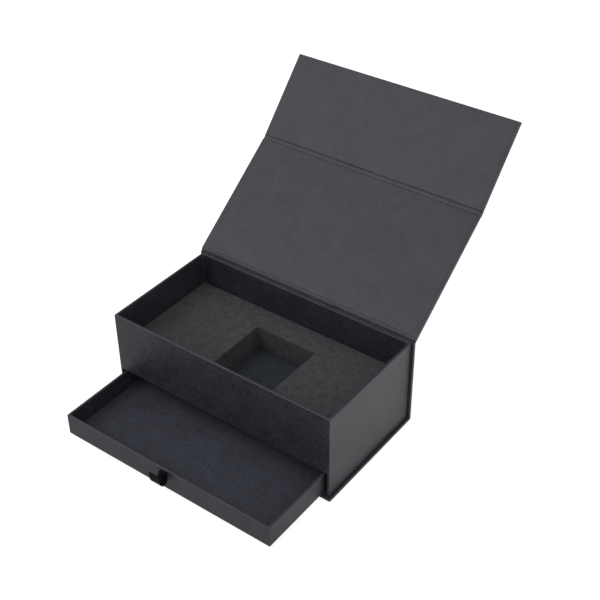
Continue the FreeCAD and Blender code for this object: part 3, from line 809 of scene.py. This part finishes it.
class GIFTBOX_OT_tray(bpy.types.Operator):
    """Covers the tray's walls with paper, with the drawer's opening under the front wall"""

    bl_idname = "giftbox.tray"
    bl_label = "Tray"

    def execute(self, context):
        sizes = context.scene.gift_box_sizes
        low, high = box("tray_wrap")
        shelf_low, shelf_high = box("shelf_lining")
        wall = shelf_low.x - low.x
        opening = box("tray_front_board")[0].z - sizes.paper

        def is_wall(i, j, k):
            """All round the middle, but in front only above the drawer's opening."""
            return (i != 1 or j != 1) and not (i == 1 and j == 0 and k == 0)

        tray = cell_piece(
            "tray_cover_paper", wall_lines(low.x, high.x, wall), wall_lines(low.y, high.y, wall),
            [low.z, opening, high.z], is_wall)
        round_edges(tray, sizes.rim_radius, rim_share(low, high, sizes))
        paint(tray, *papers())
        dress(tray, "box_body", "cover_paper", "tray_wrap")
        soften(sizes.rim_radius, *boards_of("tray_"))
        corner_fills(
            "tray_corner_paper", shelf_low, shelf_high, (shelf_high.z, high.z - sizes.edge_radius),
            sizes.corner_fill, "box_body")
        return {"FINISHED"}


class GIFTBOX_OT_bay(bpy.types.Operator):
    """Gives the drawer's bay, the shelf and the hidden boards their finishes"""

    bl_idname = "giftbox.bay"
    bl_label = "Bay, shelf and boards"

    def execute(self, context):
        colours = context.scene.gift_box_colours
        board = material_named("grey_board", grey_board, colour=colours.board)
        # the shelf's lining is the drawer's lining darkened, as painted shade in the cut-out
        lining = material_named("shelf_lining_paper", lining_paper, colour=colours.shelf_lining)
        magnet = material_named("nickel_plate", plated_metal, colour=(0.62, 0.62, 0.60), roughness=0.25)
        steel = material_named("tin_plate", plated_metal, colour=(0.55, 0.55, 0.56), roughness=0.4)
        for name, node in frame["nodes"].items():
            if name in ("left_guide", "right_guide", "rear_ledge", "shelf_board"):
                paint(node, papers()[0])
            elif name.endswith("_board"):
                paint(node, board)
        paint(frame["nodes"]["bay_lining"], papers()[0])
        paint(frame["nodes"]["shelf_lining"], lining)
        paint(frame["nodes"]["flap_magnets"], magnet)
        paint(frame["nodes"]["catch_plates"], steel)
        return {"FINISHED"}


# Foam

class GIFTBOX_OT_foam(bpy.types.Operator):
    """Makes the foam insert with its square cut-out, softly rounded and a little uneven"""

    bl_idname = "giftbox.foam"
    bl_label = "Foam insert"

    def execute(self, context):
        sizes = context.scene.gift_box_sizes
        low, high = box("foam_insert")
        hole_low, hole_high = self.cut_out(low, high)
        xs = self.grid_lines((low.x, high.x), (hole_low.x, hole_high.x), sizes.foam_pitch)
        ys = self.grid_lines((low.y, high.y), (hole_low.y, hole_high.y), sizes.foam_pitch)
        zs = lines_between(low.z, high.z, sizes.foam_pitch)

        def is_foam(i, j, k):
            """All cells whose middle lies outside the hole."""
            x, y = (xs[i] + xs[i + 1]) / 2, (ys[j] + ys[j + 1]) / 2
            return not (hole_low.x < x < hole_high.x and hole_low.y < y < hole_high.y)

        foam = cell_piece("foam_block", xs, ys, zs, is_foam)
        for vertex in foam.data.vertices:
            self.unsettle(vertex, low, high, sizes)
        round_edges(foam, sizes.foam_radius)
        skin = material_named("cut_foam", foam_skin, colour=context.scene.gift_box_colours.foam)
        paint(foam, skin, skin)
        dress(foam, "insert", "foam", "foam_insert")
        return {"FINISHED"}

    def cut_out(self, low, high):
        """Corners of the hole, from the model's own vertices on its underside and well inside the block."""
        margin, play = 0.01, 0.001
        points = [vertex.co for vertex in frame["nodes"]["foam_insert"].data.vertices]
        inner = [
            point for point in points
            if low.x + margin < point.x < high.x - margin and low.y + margin < point.y < high.y - margin
            and point.z < low.z + play]
        xs, ys = [point.x for point in inner], [point.y for point in inner]
        return Vector((min(xs), min(ys))), Vector((max(xs), max(ys)))

    def grid_lines(self, ends, hole, pitch):
        """Even lines between two ends and at the hole's sides, without any that would leave a sliver."""
        kept = [round(line, LINE_DECIMALS) for line in (*ends, *hole)]
        return [
            line for line in lines_between(*ends, pitch, *hole)
            if line in kept or all(abs(line - other) > pitch / 3 for other in kept)]

    def unsettle(self, vertex, low, high, sizes):
        """Lowers a point of the block a little, less towards its underside and never outward."""
        wave = noise.noise(vertex.co * 28) * 0.5 + noise.noise(vertex.co * 90) * 0.25  # wide and narrow waves
        rise = (vertex.co.z - low.z) / (high.z - low.z)
        vertex.co.z -= sizes.foam_wave * rise * (0.5 + wave)


# The drawer

class GIFTBOX_OT_drawer(bpy.types.Operator):
    """Covers the drawer with paper, with a slit for the ribbon, and lines its floor"""

    bl_idname = "giftbox.drawer"
    bl_label = "Drawer"

    def execute(self, context):
        sizes = context.scene.gift_box_sizes
        low, high = box("drawer_wrap")
        floor = box("drawer_floor_board")[1].z
        wall = box("drawer_left_board")[1].x - low.x + sizes.paper
        ribbon_low, ribbon_high = box("ribbon_anchor")
        slit = joint_place("ribbon_lift").z
        play = sizes.paper / 2
        slit_low, slit_high = ribbon_low.x - play, ribbon_high.x + play
        half_slit = sizes.ribbon_gauge + play
        xs = wall_lines(low.x, high.x, wall)
        xs[2:2] = [slit_low, slit_high]
        zs = [low.z, floor, slit - half_slit, slit + half_slit, high.z]

        def is_drawer(i, j, k):
            """The floor and the four walls, without the slit."""
            is_rim = i in (0, 4) or j in (0, 2)
            is_slit = i == 2 and j == 0 and k == 2
            return (k == 0 or is_rim) and not is_slit

        rim = rim_share(low, high, sizes)

        def share(middle):
            """Almost sharp round the slit."""
            in_slit = (
                slit_low - play < middle.x < slit_high + play and middle.y < low.y + 2 * wall
                and abs(middle.z - slit) < 3 * sizes.ribbon_gauge)
            return 0.1 if in_slit else rim(middle)

        drawer = cell_piece("drawer_cover_paper", xs, wall_lines(low.y, high.y, wall), zs, is_drawer)
        round_edges(drawer, sizes.rim_radius, share)
        paint(drawer, *papers())
        dress(drawer, "drawer", "cover_paper", "drawer_wrap")
        soften(sizes.rim_radius, *boards_of("drawer_"))
        lining = material_named(
            "drawer_lining_paper", lining_paper, colour=context.scene.gift_box_colours.drawer_lining)
        paint(frame["nodes"]["drawer_lining"], lining)
        inner_low = Vector((low.x + wall, low.y + wall, floor))
        inner_high = Vector((high.x - wall, high.y - wall, floor))
        corner_fills(
            "drawer_corner_paper", inner_low, inner_high, (floor + sizes.paper, high.z - sizes.edge_radius),
            sizes.corner_fill * 0.6, "drawer")
        return {"FINISHED"}


class GIFTBOX_OT_ribbon(bpy.types.Operator):
    """Makes the pull ribbon: a doubled tab that hangs from the slit and curls forward"""

    bl_idname = "giftbox.ribbon"
    bl_label = "Pull ribbon"

    def execute(self, context):
        sizes = context.scene.gift_box_sizes
        satin = material_named("ribbon_satin", ribbon_satin, colour=context.scene.gift_box_colours.ribbon)
        paint(frame["nodes"]["ribbon_anchor"], satin)
        low, high = box("pull_ribbon")
        slit = Vector((box("drawer_wrap")[0].y, joint_place("ribbon_lift").z))
        path = self.loop(low, slit)
        width = high.x - low.x
        gather = (width * 0.26, width * 0.04)  # how far its two edges come in where it leaves the slit
        ribbon = self.band(path, low.x, high.x, sizes.ribbon_gauge, gather)
        paint(ribbon, satin)
        dress(ribbon, "ribbon", "ribbon", "pull_ribbon")
        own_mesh(ribbon)
        return {"FINISHED"}

    def loop(self, low, slit):
        """Middle line of the doubled ribbon in Y and Z: out of the slit, down the wall and curled forward.

        It is given by the ends and handles of four curves, as shares of the node's reach and fall.
        """
        reach, fall = slit.x - low.y, slit.y - low.z
        line = (
            (-0.04, 0.0), (0.05, 0.01), (0.09, -0.13),
            (0.095, -0.42), (0.1, -0.84), (0.24, -1.16),
            (0.54, -1.18), (0.83, -1.2), (1.08, -0.89),
            (1.11, -0.38), (1.13, -0.1), (1.13, 0.17), (1.1, 0.43))
        points = [Vector((slit.x - reach * out, slit.y + fall * up)) for out, up in line]
        path = []
        for index in range(0, len(points) - 1, 3):
            path += [Vector(point) for point in curve_points(*points[index:index + 4], count=11)[:-1]]
        return path + [points[-1]]

    def band(self, path, left, right, gauge, gather):
        """A doubled ribbon along the middle line, gathered in the slit, with slightly thicker woven edges."""
        shares = (0.0, 0.04, 0.12, 0.35, 0.65, 0.88, 0.96, 1.0)
        swell = (0.8, 1.15, 1.0, 0.9, 0.9, 1.0, 1.15, 0.8)
        spread = 0.55  # share of its length over which it opens out to its full width
        points = []
        for index, point in enumerate(path):
            before, after = path[max(index - 1, 0)], path[min(index + 1, len(path) - 1)]
            heading = (after - before).normalized()
            normal = Vector((-heading.y, heading.x))
            gathered = 1 - smooth_step(index / len(path) / spread)
            start, end = left + gathered * gather[0], right - gathered * gather[1]
            for side in (1, -1):  # one face from left to right, and back along the other
                for share, thick in zip(shares[::side], swell[::side]):
                    place = point + normal * side * gauge * thick
                    points.append((start + (end - start) * share, place.x, place.y))
        return add_piece("ribbon_loop", points, tube_faces(2 * len(shares), len(path)))


# The studio

class GIFTBOX_OT_studio(bpy.types.Operator):
    """Adds the white floor, the soft light and the camera"""

    bl_idname = "giftbox.studio"
    bl_label = "Studio"

    def execute(self, context):
        studio = context.scene.gift_box_studio
        context.scene.view_settings.view_transform = "Standard"
        self.add_floor()
        self.add_world(context.scene, studio)
        self.add_softbox(context.scene, studio)
        self.add_camera(context.scene, studio)
        return {"FINISHED"}

    def add_floor(self):
        """A floor that is white to the camera, apart from the box's shadow.

        In what the paper mirrors it is brighter towards the back, and brighter again to the box's right.
        """
        half, z, grey, camera_glow = 4.0, CAD_BOUNDS[0][2], 0.36, 0.84
        corners = [(-half, -half, z), (half, -half, z), (half, half, z), (-half, half, z)]
        floor = add_piece("floor", corners, [(0, 1, 2, 3)])
        material = new_material(
            "floor_white", Base_Color=(grey, grey, grey, 1), Roughness=0.9, Specular_IOR_Level=0.0,
            Emission_Color=(1, 1, 1, 1))
        rays = add_node(material, "ShaderNodeLightPath")
        place = placed(material, add_node(material, "ShaderNodeSeparateXYZ")).outputs
        behind = ranged(material, place["Y"], low=0.18, high=0.76, span=(-0.25, 0.35))
        beside = ranged(material, place["X"], low=0.0, high=0.34, span=(0.1, 0.15))
        past_front = ranged(material, place["Y"], low=0.0, high=1.0, span=(-0.16, -0.1))
        level = self.maths(material, "MULTIPLY_ADD", beside, past_front, behind)
        mirrored = self.maths(
            material, "MAXIMUM", rays.outputs["Is Glossy Ray"], rays.outputs["Is Transmission Ray"])
        lift = self.maths(material, "MULTIPLY", mirrored, level)
        glow = self.maths(material, "MULTIPLY_ADD", rays.outputs["Is Camera Ray"], camera_glow, lift)
        join(material, glow, shader_of(material).inputs["Emission Strength"])
        paint(floor, material)

    def maths(self, material, operation, *values):
        """The result of one sum, of sockets and plain numbers."""
        sum_node = material.node_tree.nodes.new("ShaderNodeMath")
        sum_node.operation = operation
        for socket, value in zip(sum_node.inputs, values):
            if isinstance(value, (int, float)):
                socket.default_value = value
            else:
                join(material, value, socket)
        return sum_node.outputs[0]

    def add_world(self, scene, studio):
        """White all round, dimmer behind the box than above and in front of it, and brighter to its right."""
        world = bpy.data.worlds.new("studio_white")
        world.use_nodes = True
        scene.world = world
        background = world.node_tree.nodes["Background"]
        background.inputs["Color"].default_value = (0.97, 0.985, 1.03, 1)
        direction = placed(world, add_node(world, "ShaderNodeSeparateXYZ"), kind="Generated").outputs
        fade = ranged(
            world, direction["Y"], low=studio.ambient, high=studio.ambient * studio.back_share,
            span=(0.15, 0.65), interpolation="SMOOTHSTEP")
        side = ranged(world, direction["X"], low=1.0, high=1.3, span=(0.3, 0.95))
        strength = self.maths(world, "MULTIPLY", fade, side)
        join(world, strength, background.inputs["Strength"])

    def add_softbox(self, scene, studio):
        """One large lamp above the front, a little to the left."""
        lamp = bpy.data.lights.new("softbox", "AREA")
        lamp.energy = studio.softbox_power
        lamp.color = (0.9, 0.95, 1.0)
        lamp.shape = "RECTANGLE"
        lamp.size, lamp.size_y = 0.9, 0.9
        softbox = bpy.data.objects.new("softbox", lamp)
        place = Vector((-0.85, -1.15, 1.55))
        softbox.location = place
        softbox.rotation_euler = (-place).to_track_quat("-Z", "Y").to_euler()
        scene.collection.objects.link(softbox)

    def add_camera(self, scene, studio):
        """The camera at the place from which the box was pictured."""
        back = Vector((
            math.sin(studio.azimuth) * math.cos(studio.elevation),
            -math.cos(studio.azimuth) * math.cos(studio.elevation),
            math.sin(studio.elevation)))
        right = Vector((math.cos(studio.azimuth), math.sin(studio.azimuth), 0))
        turn = Matrix.Rotation(studio.roll, 3, back)
        right, upward = turn @ right, turn @ back.cross(right)
        lens = bpy.data.cameras.new("camera")
        lens.sensor_width = 36
        lens.lens = studio.lens
        lens.clip_start = 0.01
        camera = bpy.data.objects.new("camera", lens)
        camera.matrix_world = Matrix.Translation(Vector(studio.target) + back * studio.distance) @ Matrix(
            (right, upward, back)).transposed().to_4x4()
        scene.collection.objects.link(camera)
        scene.camera = camera


# The add-on

OPERATORS = (
    GIFTBOX_OT_case, GIFTBOX_OT_lid, GIFTBOX_OT_flap, GIFTBOX_OT_creases, GIFTBOX_OT_tray, GIFTBOX_OT_bay,
    GIFTBOX_OT_foam, GIFTBOX_OT_drawer, GIFTBOX_OT_ribbon, GIFTBOX_OT_studio,
)
GROUPS = {
    "gift_box_sizes": GiftBoxSizes,
    "gift_box_colours": GiftBoxColours,
    "gift_box_studio": GiftBoxStudio,
}


class GIFTBOX_PT_panel(bpy.types.Panel):
    """Lists the gift box's pieces and their sizes and colours"""

    bl_idname = "GIFTBOX_PT_panel"
    bl_label = "Gift Box"
    bl_space_type = "VIEW_3D"
    bl_region_type = "UI"
    bl_category = "Gift Box"

    def draw(self, context):
        for operator in OPERATORS:
            self.layout.operator(operator.bl_idname)
        for name, group in GROUPS.items():
            section = self.layout.box()
            for field in group.__annotations__:
                section.prop(getattr(context.scene, name), field)


def register():
    for group in (*GROUPS.values(), *OPERATORS, GIFTBOX_PT_panel):
        bpy.utils.register_class(group)
    for name, group in GROUPS.items():
        setattr(bpy.types.Scene, name, PointerProperty(type=group))


def unregister():
    for name in GROUPS:
        delattr(bpy.types.Scene, name)
    for group in reversed((*GROUPS.values(), *OPERATORS, GIFTBOX_PT_panel)):
        bpy.utils.unregister_class(group)


def main():
    register()
    for operator in OPERATORS:
        family, name = operator.bl_idname.split(".")
        getattr(getattr(bpy.ops, family), name)()


if __name__ == "__main__":
    main()
